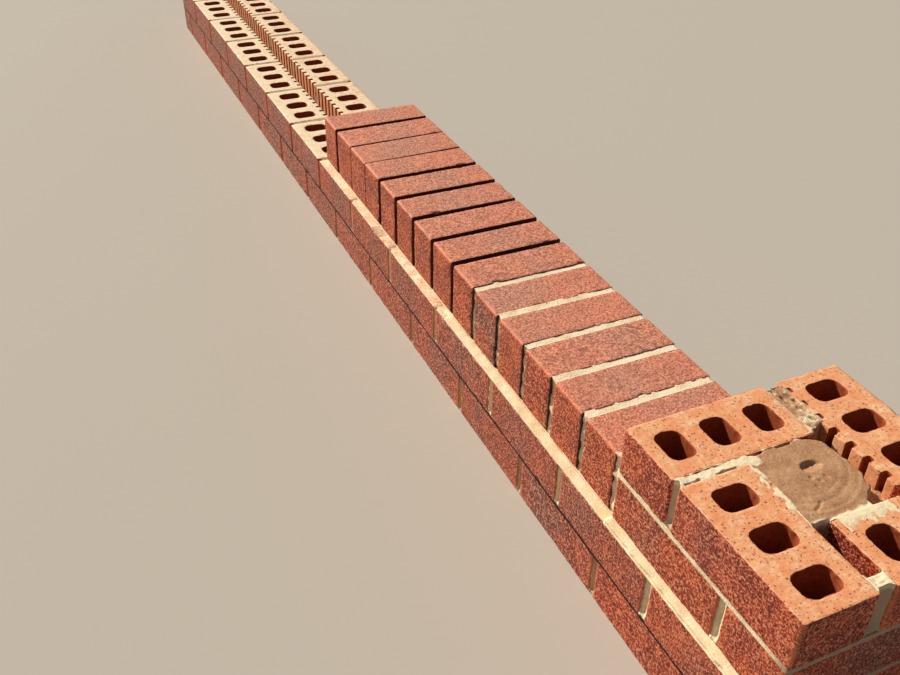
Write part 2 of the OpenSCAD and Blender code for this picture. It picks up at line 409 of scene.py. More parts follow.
def worn_brick(plain, seed):
    """A brick's own relief: bowed faces, sand grit, wire drag, torn perforations and chips."""
    points, faces, surface, mouth = plain
    brick = settings().brick
    normals = point_normals(points, faces)
    face = facing_share(points, faces, surface)
    far = points + lattice(np.arange(1.0, 10).reshape(3, 3), seed) * 9

    def bumps(size_mm, number):
        return rough(far, np.array(size_mm) * MM, seed + number)

    size = points.max(0)
    edge_gap = np.sort(np.minimum(points, size - points), axis=1)[:, 1]
    arris = np.clip(1 - edge_gap / NICKED, 0, 1)
    bow = brick.bow * (0.5 + 0.5 * bumps(70, 0))
    grit = bumps(5, 1) * 0.6 + bumps(2.4, 2) * 0.4
    wire = bumps((3.5, 28, 9), 3)
    relief = brick.grit * np.where(face > 0.5, 0.5 + 0.5 * grit, 0.4 * (0.5 + 0.5 * wire))
    pitted = above(bumps(7, 4), 0.62) * 1.2 * MM
    nick = above(bumps(6, 5), 0.25) * brick.nick
    chip = above(bumps(20, 6), 0.5) * brick.chip
    inward = bow + relief + pitted + arris * (nick + chip) - brick.swell
    torn = mouth * (1.5 * bumps(4.4, 7) * MM - nick)
    moved = points - normals * inward[:, None] + normals * (1, 1, 0) * torn[:, None]
    return moved, far


def flash_of(points, size, seed):
    """How far each point has the purple flash: bands along a brick, and patches."""
    pick = lattice(np.array([[seed, 1.0, 2.0], [seed, 3.0, 4.0], [seed, 5.0, 6.0]]), 7)
    along = points[:, 0] / size[0] + 0.12 * rough(points, 40 * MM, seed + 11)
    middle = 0.5 + 0.28 * pick[0]
    band = np.exp(-(((along - middle) / (0.2 + 0.07 * pick[1])) ** 2))
    patch = 0.5 + 0.5 * rough(points, 45 * MM, seed + 12)
    return np.clip(band * (0.6 + 0.4 * pick[2]) * (0.4 + 0.8 * patch), 0, 1)


def rubbed(points, size, seed):
    """How far the sand has rubbed off along the arris between a face and a brick's end."""
    end = np.minimum(points[:, 0], size[0] - points[:, 0])
    near = 1 - np.hypot(end, points[:, 1]) / (7 * MM)
    return above(near + 0.4 * rough(points, 9 * MM, seed + 13), 0.25)


def put(name, data):
    """Adds an object to the scene."""
    made = bpy.data.objects.new(name, data)
    bpy.context.scene.collection.objects.link(made)
    return made


class Lay:
    """Collects worn bricks or mortar, and makes them one piece that stands for a CAD node."""

    # On mortar, flash lays stain and painted shade; on bricks, dust also paints sheen on level faces
    marks = ("flash", "dust", "worn")

    def __init__(self):
        self.held = {name: [] for name in ("points", "faces", "surface", "clay", *self.marks)}
        self.total = 0

    def add(self, points, faces, surface=0, clay=None, **marks):
        """Adds a mesh; each mark is one number, or one for each point."""
        self.held["points"].append(points)
        self.held["faces"].append(np.where(faces < 0, -1, faces + self.total))
        self.held["surface"].append(np.broadcast_to(surface, len(faces)))
        self.held["clay"].append(points if clay is None else clay)
        for name in self.marks:
            self.held[name].append(np.broadcast_to(marks.get(name, 0.0), len(points)))
        self.total += len(points)

    def piece(self, node, slot, *materials):
        """Makes one object of all that was added, in the place of a CAD node."""
        held = {name: np.concatenate(values) for name, values in self.held.items()}
        faces = [[c for c in face if c >= 0] for face in held["faces"].tolist()]
        mesh = bpy.data.meshes.new(node + "_looks")
        mesh.from_pydata(held["points"].tolist(), [], faces)
        for name in ("clay", *self.marks):
            kind, field = ("FLOAT_VECTOR", "vector") if name == "clay" else ("FLOAT", "value")
            store = mesh.attributes.new(name, kind, "POINT")
            store.data.foreach_set(field, held[name].astype(np.float32).ravel())
        for material in materials:
            mesh.materials.append(material)
        mesh.polygons.foreach_set("material_index", held["surface"].astype(np.int32))
        mesh.shade_smooth()
        made = put(node + "_looks", mesh)
        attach(made, BODY)
        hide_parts(node)


def lay_whole(node, slot, material, points, faces, **marks):
    """Makes one mesh the piece that stands for a node."""
    lay = Lay()
    lay.add(points, faces, **marks)
    lay.piece(node, slot, material)


# Turns from a brick's own frame, where it lies along X and faces -Y, to its place in the wall
ON_EDGE = Matrix(((0, 0, -1), (1, 0, 0), (0, -1, 0)))


def quarter(turns):
    """Matrix of some quarter turns about Z."""
    return Euler((0, 0, turns * math.pi / 2)).to_matrix()


def solids(node):
    """Lowest and highest corner of each separate solid of a CAD node, in order along the wall."""
    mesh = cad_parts[node].data
    places = np.array([v.co for v in mesh.vertices], float).reshape(-1, 3)
    keys, index = np.unique(places.round(6), axis=0, return_inverse=True)
    index = index.ravel()
    group = np.arange(len(keys))
    pairs = np.array([index[list(edge.vertices)] for edge in mesh.edges])
    while True:
        low = np.minimum(group[pairs[:, 0]], group[pairs[:, 1]])
        fresh = group.copy()
        np.minimum.at(fresh, pairs[:, 0], low)
        np.minimum.at(fresh, pairs[:, 1], low)
        if (fresh == group).all():
            break
        group = fresh
    found = [(keys[group == g].min(0), keys[group == g].max(0)) for g in np.unique(group)]
    return sorted(found, key=lambda box: (round(box[0][0], 4), round(box[0][1], 4)))


def lay_brick(
    lay, box, turn, seed, steps, slots=False, keyed=False, bed_step=0,
    dust=0.0, fired=0.0, patchy=1.0, tilt=0.0, drop=0.0,
):
    """Lays one brick in a box of the frame, turned as its course asks, a little out of true."""
    low, high = np.array(box)
    spin = np.array(turn)
    size = np.abs(spin.T @ (high - low)).round(6)
    plain = plain_brick(*size.tolist(), slots, keyed, steps, bed_step)
    points, clay = worn_brick(plain, seed)
    lean = Euler([tilt * v for v in lattice(np.eye(3) + seed, 21)]).to_matrix()
    placed = (points - size / 2) @ np.array(lean).T @ spin.T + (low + high) / 2 - (0, 0, drop)
    placed += settings().brick.slip * 0.5 * lattice(np.eye(3) * 2 + seed, 22)
    swell = settings().brick.swell
    lowest, highest = np.maximum(low - swell, CAD_BOX[0]), np.minimum(high + swell, CAD_BOX[1])
    placed = np.clip(placed, lowest, highest)
    # Level faces take more of the dust mark, which also paints the sheen of level tops
    level = np.clip(point_normals(placed, plain[1])[:, 2], 0, 1) ** 2
    lay.add(
        placed, plain[1], plain[2], clay,
        flash=np.clip(fired + patchy * flash_of(plain[0], size, seed), 0, 1),
        dust=dust * level,
        worn=rubbed(plain[0], size, seed),
    )


def lay_course(node, slot, seed, turns=None, fired=0.0, **looks):
    """Lays a node's bricks, turned by quarters or else as each one's box lies."""
    lay = Lay()
    boxes = solids(node)
    for i, (low, high) in enumerate(boxes):
        across = int(high[1] - low[1] > high[0] - low[0])
        turn = quarter(across if turns is None else turns)
        heat = np.broadcast_to(fired, len(boxes))[i]
        lay_brick(lay, (low, high), turn, seed + i, fired=heat, **looks)
    lay.piece(node, slot, *brick_clays())


# Shapes of mortar


def grid(low, high, steps_mm):
    """Coordinates from low to high, close to a step apart on each axis."""
    pieces = [max(2, round((high[k] - low[k]) / (steps_mm[k] * MM)) + 1) for k in range(3)]
    return [np.linspace(low[k], high[k], pieces[k]) for k in range(3)]


# Sides of a cell in plan: the way to its neighbour, and the first and last corner of its edge
CELL_SIDES = (
    ((-1, 0), (0, 1), (0, 0)),
    ((1, 0), (1, 0), (1, 1)),
    ((0, -1), (0, 0), (1, 0)),
    ((0, 1), (1, 1), (0, 1)),
)


def block(xs, ys, zs, keep=None):
    """Closed mesh of the cells kept of a grid, from its lowest level to its highest."""
    nx, ny, nz = len(xs) - 1, len(ys) - 1, len(zs) - 1
    keep = np.ones((nx, ny), bool) if keep is None else keep
    padded = np.pad(keep, 1)
    number = np.arange((nx + 1) * (ny + 1) * (nz + 1)).reshape(nx + 1, ny + 1, nz + 1)
    faces = []
    i, j = np.nonzero(keep)
    for k, order in ((0, (0, 3, 2, 1)), (nz, (0, 1, 2, 3))):
        ring = [number[i, j, k], number[i + 1, j, k], number[i + 1, j + 1, k], number[i, j + 1, k]]
        faces.append(np.column_stack([ring[c] for c in order]))
    for (di, dj), a, b in CELL_SIDES:
        i, j = np.nonzero(keep & ~padded[1 + di : 1 + di + nx, 1 + dj : 1 + dj + ny])
        one, two = number[i + a[0], j + a[1]], number[i + b[0], j + b[1]]
        for k in range(nz):
            faces.append(np.column_stack([one[:, k], two[:, k], two[:, k + 1], one[:, k + 1]]))
    used, faces = np.unique(np.concatenate(faces), return_inverse=True)
    at = np.stack(np.meshgrid(xs, ys, zs, indexing="ij"), -1).reshape(-1, 3)[used]
    return at, faces.reshape(-1, 4)


# How far a brick on a course's outer face reaches past it, so that no cell lies between
CLEAR = 0.1


def block_between(low, high, boxes, laps, step, rise_mm):
    """Closed mesh of the mortar of a course, in the cells of a box that no brick fills.

    It laps into the bricks by laps, for their low x, low y, high x and high y. A side on the
    course's outer face takes no lap, so that no mortar lies on the face."""
    bricks = []
    for box, lap in zip(boxes, laps):
        a, b = np.array(box)
        for k in range(2):
            a[k] += -CLEAR if a[k] - low[k] < MM else lap[k]
            b[k] -= -CLEAR if high[k] - b[k] < MM else lap[k + 2]
        bricks.append((a, b))
    axes = []
    for k in range(2):
        edges = {round(v, 7) for box in bricks for v in (box[0][k], box[1][k])}
        edges = sorted({v for v in edges if low[k] < v < high[k]} | {low[k], high[k]})
        counts = [max(2, round((b - a) / step) + 1) for a, b in zip(edges, edges[1:])]
        runs = [np.linspace(*run) for run in zip(edges, edges[1:], counts)]
        axes.append(np.unique(np.concatenate(runs).round(7)))
    xs, ys = axes
    x, y = np.meshgrid((xs[1:] + xs[:-1]) / 2, (ys[1:] + ys[:-1]) / 2, indexing="ij")
    keep = np.ones(x.shape, bool)
    for a, b in bricks:
        keep &= ~((x > a[0]) & (x < b[0]) & (y > a[1]) & (y < b[1]))
    return block(xs, ys, grid(low, high, (1, 1, rise_mm))[2], keep)


def sandy(points, faces, seed, lump=None, sand=None):
    """Mortar's relief: uneven strike and sand, always in from the true surface."""
    mortar = settings().mortar
    lump = mortar.lump if lump is None else lump
    sand = mortar.sand if sand is None else sand
    strike = 0.5 + 0.5 * rough(points, 14 * MM, seed)
    grains = 0.5 + 0.3 * rough(points, 5 * MM, seed + 1) + 0.2 * rough(points, 2.6 * MM, seed + 2)
    return points - point_normals(points, faces) * (lump * strike + sand * grains)[:, None]


def sandy_block(low, high, steps_mm, seed, **relief):
    """Closed mesh of a box of mortar with its relief."""
    points, faces = block(*grid(low, high, steps_mm))
    return sandy(points, faces, seed, **relief), faces


def brick_gap(points, boxes):
    """Distance in plan from each point to the nearest of some bricks, 0 inside one."""
    gaps = []
    for low, high in boxes:
        out = np.maximum(np.maximum(low[:2] - points[:, :2], points[:, :2] - high[:2]), 0)
        gaps.append(np.hypot(out[:, 0], out[:, 1]))
    return np.min(gaps, axis=0)


def brick_over(points, boxes):
    """How far inside a brick's plan each point lies, 0 outside all of them."""
    depths = [
        np.minimum(points[:, :2] - low[:2], high[:2] - points[:, :2]).min(1) for low, high in boxes
    ]
    return np.maximum(np.max(depths, axis=0), 0)


# A box's open sides: an axis, and 0 for its low side or 1 for its high one
STREET, GARDEN, ALL_ROUND = ((1, 0),), ((1, 1),), ((0, 0), (0, 1), (1, 0), (1, 1))
# How far beds of mortar and felt run on into the courses over and under them
BED_LAP = np.array([0, 0, 0.7 * MM])
# How far back mortar lies beside a brick: where it's struck flush, and on the pier
FLUSH, PIER_FLUSH = in_mm(0.25, 1.6)


def open_sides(course, sides):
    """Open sides of a course: axis, level of its bricks' faces, and the way into the wall."""
    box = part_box(course)
    return [(axis, box[side][axis], 1 - 2 * side) for axis, side in sides]


def opened(box, sides, grow=(0, 0, 0)):
    """Corners of a box that is grown, and reaches the bricks' faces on its open sides."""
    low, high = np.array(box) + np.outer((-1, 1), grow)
    for axis, level, inward in sides:
        (low if inward > 0 else high)[axis] = level
    return low, high


def struck(points, sides, boxes, seed, flush=FLUSH):
    """Pushes a joint's open sides in: ragged beside the bricks and hollow in the middle.

    The foot of a joint stays further out, where it meets the bed below."""
    mortar = settings().mortar
    fade = 12 * MM
    up = points[:, 2] - points[:, 2].min()
    foot = 0.15 + 0.85 * ease(up, 0, min(10 * MM, up.max() / 4))
    moved = points.copy()
    for axis, level, inward in sides:
        depth = np.clip(1 - inward * (points[:, axis] - level) / fade, 0, 1)
        share = np.clip(brick_gap(points, boxes) / mortar.hollow_edge, 0, 1)
        uneven = 0.5 * MM * rough(points, 7 * MM, seed) + 0.3 * MM * rough(points, 3 * MM, seed + 1)
        moved[:, axis] += inward * depth * foot * (flush + uneven + mortar.hollow * share**1.5)
    return np.clip(moved, *CAD_BOX)


def fillet(points, low, reach, fall, seed):
    """Slopes mortar down over its outer reach, to a ragged edge on the street side."""
    out = np.clip(1 - (points[:, 1] - low[1]) / reach, 0, 1)
    up = ease(points[:, 2], low[2], low[2] + 3.5 * MM)
    points[:, 2] -= up * out * fall * (1 + 0.5 * rough(points, 13 * MM, seed))
    points[:, 1] += up * out**2 * 2.2 * MM * (0.8 + rough(points, 9 * MM, seed + 1))
    return np.clip(points, *CAD_BOX)


def end_stain_and_shade(points):
    """How far the mortar is stained and darkened as painted shade: only on the pier's shaded end."""
    return 0.75 * ease(points[:, 0], CAD_BOX[1][0] - 25 * MM, CAD_BOX[1][0] - 10 * MM)


# Materials


def add(tree, kind, inputs, output=0, **values):
    """Adds a node; its inputs are numbers, colours or sockets, and it gives one output."""
    made = tree.nodes.new("ShaderNode" + kind)
    for name, value in values.items():
        setattr(made, name, value)
    for name, value in inputs.items():
        socket = made.inputs[name]
        if isinstance(value, bpy.types.NodeSocket):
            tree.links.new(value, socket)
        else:
            socket.default_value = value
    return made.outputs[output]


def noise(tree, place, size_mm, detail, roughness=0.6):
    """Noise whose features are this many millimetres across."""
    inputs = {"Vector": place, "Scale": 1000 / size_mm, "Detail": detail, "Roughness": roughness}
    return add(tree, "TexNoise", inputs, "Fac")


def remap(tree, value, low, high, top=1.0):
    """0 where a value is at low, and top where it's at high."""
    inputs = {"Value": value, "From Min": low, "From Max": high, "To Max": top}
    return add(tree, "MapRange", inputs, "Result")


def times_plus(tree, value, factor, more):
    """A value times a factor, and then more."""
    return add(tree, "Math", {0: value, 1: factor, 2: more}, operation="MULTIPLY_ADD")


def mark(tree, name, output="Fac"):
    """A value that the mesh holds for each of its points."""
    return add(tree, "Attribute", {}, output, attribute_name=name)


def colour(name):
    """Colour of the settings as a node's input takes it."""
    return (*getattr(settings().colour, name), 1)


def coat(tree, ground, *layers):
    """Lays colours over a ground colour; a layer is how much of it shows, and its colour."""
    body = colour(ground)
    for share, name in layers:
        body = add(tree, "Mix", {0: share, 6: body, 7: colour(name)}, 2, data_type="RGBA")
    return body


def new_material(name):
    """Empty material and its tree of nodes."""
    material = bpy.data.materials.new(name)
    material.use_nodes = True
    material.node_tree.nodes.clear()
    return material, material.node_tree


def dress(material, body, roughness, specular, height=None, depth_mm=0.0, strength=1.0):
    """Gives a material its colour, its sheen and a relief this many millimetres deep."""
    tree = material.node_tree
    inputs = {"Base Color": body, "Roughness": roughness, "Specular IOR Level": specular, "IOR": 1.5}
    if height:
        relief = {"Strength": strength, "Distance": depth_mm * MM, "Height": height}
        inputs["Normal"] = add(tree, "Bump", relief)
    surface = add(tree, "BsdfPrincipled", inputs)
    out = tree.nodes.new("ShaderNodeOutputMaterial")
    tree.links.new(surface, out.inputs["Surface"])
    return material


@lru_cache(maxsize=None)
def facing_clay():
    """Fired clay, extruded and sanded on its faces.

    The sand breaks the red into dark and pale grains, with grey-purple flashes, orange arrises
    where it has rubbed off, and a pale coat on what lies level that is partly dust and partly painted
    sheen."""
    material, tree = new_material("sanded_fired_clay")
    place = mark(tree, "clay", "Vector")
    # Grains of 2 to 3 mm: the real sand is finer, and is drawn as coarse as it needs to show
    fine, coarse = noise(tree, place, 2.9, 1.8), noise(tree, place, 5.5, 1.5)
    grain = add(tree, "Mix", {0: 0.3, 2: fine, 3: coarse}, data_type="FLOAT")
    powder_and_sheen = times_plus(tree, grain, 1.1, times_plus(tree, coarse, 0.5, -0.3))
    body = coat(
        tree,
        "face_red",
        (remap(tree, noise(tree, place, 42, 2, 0.5), 0.4, 0.66), "face_orange"),
        (mark(tree, "flash"), "face_flash"),
        (remap(tree, grain, 0.485, 0.425, 0.88), "face_speck"),
        (remap(tree, grain, 0.525, 0.58, 0.8), "face_grain"),
        (mark(tree, "worn"), "face_edge"),
        # Dust and painted sheen on level faces, through the dust mark
        (times_plus(tree, powder_and_sheen, mark(tree, "dust"), 0), "face_dust_and_sheen"),
    )
    return dress(material, body, 0.62, 0.45, grain, 2.2, 0.8)


@lru_cache(maxsize=None)
def cut_clay():
    """Fired clay as the wire cut it on the beds.

    Smooth and orange, with faint drag lines, many torn nicks, and mortar dust where it lay, which on
    the open course is also a painted sheen."""
    material, tree = new_material("wire_cut_fired_clay")
    place = mark(tree, "clay", "Vector")
    along = add(tree, "VectorMath", {0: place, 1: (1.0, 0.35, 0.7)}, operation="MULTIPLY")
    mixed = times_plus(tree, noise(tree, along, 4, 3), 0.6, noise(tree, place, 22, 4, 0.62))
    # Torn nicks and ironspots of 1 to 3 mm, where the noise is lowest
    torn = noise(tree, place, 3.6, 2, 0.7)
    spotted = remap(tree, torn, 0.385, 0.33, 0.85)
    film = times_plus(tree, torn, 0.7, times_plus(tree, mixed, 0.7, mark(tree, "dust")))
    body = coat(
        tree,
        "bed_clay",
        (remap(tree, mixed, 0.62, 1.0), "bed_pale"),
        (spotted, "bed_speck"),
        # Mortar dust, with painted sheen on the open beds
        (remap(tree, film, 0.97, 1.35, 0.95), "bed_dust_and_sheen"),
    )
    return dress(material, body, 0.62, 0.5, times_plus(tree, spotted, -0.6, mixed), 0.9, 0.7)


@lru_cache(maxsize=None)
def plain_clay(name, deep, pale):
    """Fired clay that no sand and little dust reached, in a deep plain colour that is darkened in part
    as painted shade.
    """
    material, tree = new_material(name)
    grain = noise(tree, mark(tree, "clay", "Vector"), 5, 3)
    body = coat(tree, deep, (remap(tree, grain, 0.3, 0.7), pale))
    return dress(material, body, 0.7, 0.3, grain, 0.8, 0.5)


def raw_clay():
    """Clay inside a perforation or a key as it left the die, made darker as painted shade."""
    return plain_clay("extruded_fired_clay", "deep_clay_and_shade", "deep_pale")


def joint_shade_clay():
    """Bed faces in the coping's joints, darkened as painted shade so that the joints look dark."""
    return plain_clay("joint_shade_fired_clay", "joint_shade_clay", "joint_shade_clay")


def brick_clays():
    """Materials of a brick, in the order of its surfaces."""
    return facing_clay(), cut_clay(), raw_clay()


@lru_cache(maxsize=None)
def mortar_mix(name, dark, pale, dry, roughness, relief):
    """Sand and lime mortar, struck with a trowel: matt, with sand grains that show."""
    material, tree = new_material(name)
    place = add(tree, "TexCoord", {}, "Object")
    # Sand of about 1.5 mm, coarser than the real 0.5 mm so that it shows
    sand = noise(tree, place, 2.8, 2, 0.7)
    both = times_plus(tree, sand, 0.8, noise(tree, place, 26, 3))
    edge = times_plus(tree, both, 0.8, mark(tree, "dust"))
    body = coat(
        tree,
        dark,
        (remap(tree, both, 0.7, 1.02), pale),
        (remap(tree, edge, 0.9, 1.5), dry),
        # The flash mark lays stain and painted shade on the mortar
        (mark(tree, "flash"), "mortar_stain_and_shade"),
    )
    return dress(material, body, roughness, 0.4, sand, relief, 0.9)


def dry_mortar():
    """Mortar that has dried pale and matt."""
    return mortar_mix("dry_sand_lime_mortar", "mortar_dark", "mortar_pale", "mortar_white", 0.9, 1.2)


def fresh_mortar():
    """Mortar still dark with water, with a faint sheen from the trowel."""
    return mortar_mix("fresh_trowelled_mortar", "core_wet", "core_pale", "mortar_pale", 0.6, 0.7)


@lru_cache(maxsize=None)
def bitumen_felt():
    """Bitumen damp-proof felt, rolled: near black with a dull greasy sheen."""
    material, tree = new_material("bitumen_felt")
    grain = noise(tree, add(tree, "TexCoord", {}, "Object"), 4, 3)
    return dress(material, coat(tree, "felt", (grain, "felt_worn")), 0.8, 0.2, grain, 0.5, 0.4)


# Operators

FLOOR_REACH = 30
# The sun stands low past the wall's far end, a little to the street side
SUN_BEARING, SUN_HEIGHT, SUN_SPREAD = (math.radians(a) for a in (24, 33, 3))
SUN_ENERGY, SUN_COLOUR = 5.2, "FFF3E2"
FILL_STRENGTH, FILL_COLOUR = 0.16, "DCE4F0"
SENSOR_MM = 36


class GARDEN_WALL_OT_stage(bpy.types.Operator):
    """Sets the studio floor, the low light from the far end, the soft fill and the camera"""

    bl_idname = "garden_wall.stage"
    bl_label = "Studio and camera"

    def execute(self, context):
        scene, view = context.scene, settings().camera
        mesh = bpy.data.meshes.new("studio_floor")
        around = ((-1, -1), (1, -1), (1, 1), (-1, 1))
        mesh.from_pydata([(x * FLOOR_REACH, y * FLOOR_REACH, 0) for x, y in around], [], [range(4)])
        paint, _ = new_material("studio_floor_paint")
        mesh.materials.append(dress(paint, colour("floor"), 0.9, 0.2))
        floor = put("studio_floor", mesh)

        key = bpy.data.lights.new("low_key_light", "SUN")
        key.energy = SUN_ENERGY
        key.angle = SUN_SPREAD
        key.color = linear(SUN_COLOUR)
        level = math.cos(SUN_HEIGHT)
        towards = (-math.cos(SUN_BEARING) * level, -math.sin(SUN_BEARING) * level, math.sin(SUN_HEIGHT))
        lamp = put("low_key_light", key)
        lamp.rotation_euler = Vector(towards).to_track_quat("Z", "Y").to_euler()

        world = bpy.data.worlds.new("soft_studio_fill")
        world.use_nodes = True
        background = world.node_tree.nodes["Background"]
        background.inputs["Color"].default_value = (*linear(FILL_COLOUR), 1)
        background.inputs["Strength"].default_value = FILL_STRENGTH
        scene.world = world

        lens = bpy.data.cameras.new("photo_camera")
        lens.lens = view.lens
        lens.sensor_width = SENSOR_MM
        camera = put("photo_camera", lens)
        camera.location = view.place
        camera.rotation_euler = view.turn
        scene.camera = camera
        scene.view_settings.view_transform = "Standard"
        return {"FINISHED"}


# Steps of a mesh: face, ends, back, upright and round a perforation
FRONT_STEPS, BACK_STEPS = in_mm(4, 16, 40, 4, 8), in_mm(6, 20, 40, 6, 8)
OPEN_STEPS, COPING_STEPS = in_mm(5, 12, 6, 6, 4), in_mm(4, 4, 12, 6, 5)
PIER_STEPS, TOP_STEPS = in_mm(4, 4, 12, 4, 8), in_mm(2.6, 2.6, 2.6, 3, 2.2)
# The two leaves: their quarter turns and steps
LEAVES = (("front", 0, FRONT_STEPS), ("back", 2, BACK_STEPS))
COPING = sorted(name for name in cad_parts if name.startswith("coping_brick_"))
PIER_TOP = ("left", "front", "right", "back")


class GARDEN_WALL_OT_lower_courses(bpy.types.Operator):
    """Lays the bricks of both leaves up to the damp course"""

    bl_idname = "garden_wall.lower_courses"
    bl_label = "Lower courses"

    def execute(self, context):
        for number, (leaf, turns, steps) in enumerate(LEAVES):
            node = f"lower_course_{leaf}"
            fired = [0.6 if low[0] < 0 else 0.3 for low, _ in solids(node)]
            lay_course(node, "facing_brick", 100 * number, turns, fired, steps=steps)
        return {"FINISHED"}


class GARDEN_WALL_OT_covered_course(bpy.types.Operator):
    """Lays the bricks of both leaves under the coping"""

    bl_idname = "garden_wall.covered_course"
    bl_label = "Covered course"

    def execute(self, context):
        for number, (leaf, turns, steps) in enumerate(LEAVES):
            node = f"upper_course_{leaf}_coped"
            lay_course(node, "facing_brick", 300 + 100 * number, turns, 0.3, steps=steps, dust=0.25)
        return {"FINISHED"}


class GARDEN_WALL_OT_open_course(bpy.types.Operator):
    """Lays the open, perforated and keyed bricks of both leaves"""

    bl_idname = "garden_wall.open_course"
    bl_label = "Open course"

    def execute(self, context):
        for number, (leaf, turns, _) in enumerate(LEAVES):
            # The open beds take the dust mark: mortar dust and partly a painted sheen
            lay_course(
                f"upper_course_{leaf}_open", "brick_bed", 500 + 100 * number, turns, 0.65,
                slots=True, keyed=True, steps=OPEN_STEPS, bed_step=6 * MM, dust=0.44 - 0.08 * number,
            )
        return {"FINISHED"}


class GARDEN_WALL_OT_coping(bpy.types.Operator):
    """Lays the bricks on edge that cap the near half of the wall"""

    bl_idname = "garden_wall.coping"
    bl_label = "Coping"

    def execute(self, context):
        # These bricks run full, and so their joints look narrower than the frame's
        full = (0.9 * MM, 0, 0)
        for i, node in enumerate(COPING):
            lay = Lay()
            # The tops take much of the dust mark: dust and a painted sheen
            lay_brick(
                lay, opened(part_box(node), (), full), ON_EDGE, 700 + i, COPING_STEPS,
                slots=True, bed_step=9 * MM, dust=0.82, patchy=1.9, tilt=math.radians(0.3),
            )
            # The bed faces take the clay that paints the joints' shade
            lay.piece(node, "facing_brick", facing_clay(), joint_shade_clay(), raw_clay())
        return {"FINISHED"}


class GARDEN_WALL_OT_pier_courses(bpy.types.Operator):
    """Lays the three bedded courses of the pier"""

    bl_idname = "garden_wall.pier_courses"
    bl_label = "Pier courses"

    def execute(self, context):
        for course in (1, 2, 3):
            lay_course(f"pier_course_{course}", "facing_brick", 800 + 10 * course, steps=PIER_STEPS)
        return {"FINISHED"}


class GARDEN_WALL_OT_pier_top(bpy.types.Operator):
    """Lays the four perforated bricks that turn round the pier's core"""

    bl_idname = "garden_wall.pier_top"
    bl_label = "Pier top"

    def execute(self, context):
        for i, place in enumerate(PIER_TOP):
            lay = Lay()
            node = f"pier_top_{place}"
            # Mortar hides the keys of the left and front bricks; all lie low enough for its film
            lay_brick(
                lay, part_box(node), quarter(i - 1), 900 + i, TOP_STEPS,
                slots=True, keyed=i > 1, bed_step=3 * MM, drop=0.85 * MM,
            )
            lay.piece(node, "brick_bed", *brick_clays())
        return {"FINISHED"}


class GARDEN_WALL_OT_upright_joints(bpy.types.Operator):
    """Fills the upright joints of both leaves"""

    bl_idname = "garden_wall.upright_joints"
    bl_label = "Upright joints"

    def execute(self, context):
        smear = settings().mortar.smear
        coping_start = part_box(COPING[0])[0][0]
        for number, (node, courses, side) in enumerate(
            (
                ("lower_joints_front", ("lower_course_front",), STREET),
                ("lower_joints_back", ("lower_course_back",), GARDEN),
                ("upper_joints_front", ("upper_course_front_open", "upper_course_front_coped"), STREET),
                ("upper_joints_back", ("upper_course_back_open", "upper_course_back_coped"), GARDEN),
            )
        ):
            lay = Lay()
            sides = open_sides(courses[0], side)
            bricks = [box for course in courses for box in solids(course)]
            for i, box in enumerate(solids(node)):
                # The joints of the open length aren't pointed yet, and lie deep
                unpointed = box[1][0] < coping_start
                seed = 40 * number + i
                flush = (7 if unpointed else 1.5) * MM
                stain_and_shade = 0.7 if unpointed else 0.55 if number < 2 else 0.15
                low, high = opened(box, sides, (smear, 0, 0))
                points, faces = sandy_block(low, high, (1.6, 9, 3.2), seed)
                points = struck(points, sides, bricks, seed + 3, flush)
                lay.add(points, faces, flash=stain_and_shade)
            lay.piece(node, "mortar", dry_mortar())
        return {"FINISHED"}


class GARDEN_WALL_OT_damp_beds(bpy.types.Operator):
    """Rolls the thin dark bed between the two lowest courses"""

    bl_idname = "garden_wall.damp_beds"
    bl_label = "Damp course"

    def execute(self, context):
        for number, (node, course, sides) in enumerate(
            (
                ("damp_bed_front", "lower_course_front", STREET),
                ("damp_bed_back", "lower_course_back", GARDEN),
                ("pier_bed_1", "pier_course_1", ALL_ROUND),
            )
        ):
            low, high = opened(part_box(node), open_sides(course, sides), BED_LAP)
            relief = {"lump": 0.2 * MM, "sand": 0.1 * MM}
            points, faces = sandy_block(low, high, (5, 25, 1.5), 60 + number, **relief)
            points[:, 2] += 0.9 * MM * rough(points, 45 * MM, 70 + number)
            lay_whole(node, "damp_bed", bitumen_felt(), points, faces)
        return {"FINISHED"}


